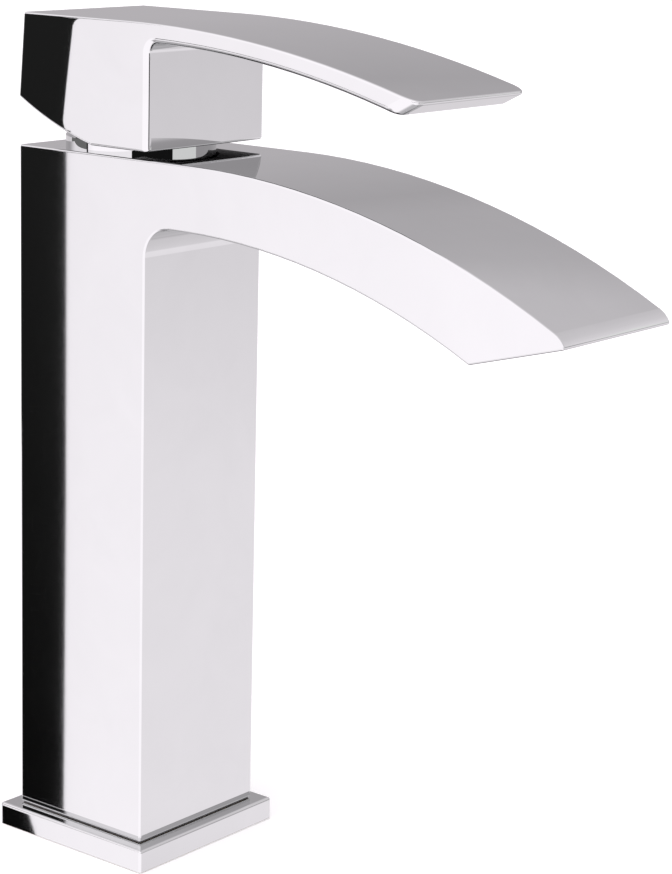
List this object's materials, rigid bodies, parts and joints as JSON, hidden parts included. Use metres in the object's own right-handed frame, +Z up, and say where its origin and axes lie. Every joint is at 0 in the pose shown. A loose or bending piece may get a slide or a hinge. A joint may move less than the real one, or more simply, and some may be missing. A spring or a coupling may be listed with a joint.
{
  "type": "basin mixer tap",
  "caption": "Tall single-lever basin mixer tap with a square column, a flat curved spout and a flat lever that lifts for flow and turns for temperature.",
  "frame": {"origin": "on the column's axis, at the underside of the base plate (deck level)", "axes": "+X forward along the spout, +Y to the left of a user who faces the spout's outlet from behind, +Z up along the column"},
  "size_m": [0.177, 0.053, 0.223],
  "materials": {
    "chrome": "polished chrome plate",
    "brass": "turned, unplated",
    "steel": "turned and ground",
    "rubber": "moulded, matt",
    "white_plastic": "moulded",
    "grey_plastic": "moulded",
    "ceramic": "fired and lapped",
    "plug": "moulded, glossy"
  },
  "bodies": {
    "tap_body": {"base_plate": "chrome", "deck_gasket": "rubber", "column_seal": "rubber", "body_casting": "chrome", "cartridge_base": "white_plastic", "inlet_seals": "rubber", "disc_seals": "rubber", "fixed_disc": "ceramic", "cartridge_housing": "white_plastic", "cartridge_oring": "rubber", "glide_washer": "white_plastic", "lock_nut": "brass", "cover_ring": "chrome", "aerator_frame": "grey_plastic", "aerator_screen": "steel", "aerator_seal": "rubber"},
    "turret": {"lever_carrier": "grey_plastic", "pivot_pin": "steel"},
    "lever": {"lever_stem": "steel", "handle": "chrome", "grub_screw": "steel", "index_plug": "plug"},
    "slider": {"moving_disc": "ceramic", "disc_driver": "white_plastic"}
  },
  "joints": [
    {"name": "handle_swivel", "type": "hinge", "parent": "tap_body", "child": "turret", "pos_m": [0, 0, 0.184], "axis": [0, 0, 1], "range_deg": [-50, 50]},
    {"name": "handle_lift", "type": "hinge", "parent": "turret", "child": "lever", "pos_m": [0, 0, 0.184], "axis": [0, -1, 0], "range_deg": [0, 24]},
    {"name": "disc_slide", "type": "slide", "parent": "turret", "child": "slider", "axis": [1, 0, 0], "range_m": [0, 0.0041]}
  ],
  "couplings": [
    {"joint": "disc_slide", "follows": "handle_lift", "m_per_rad": 0.00971}
  ]
}
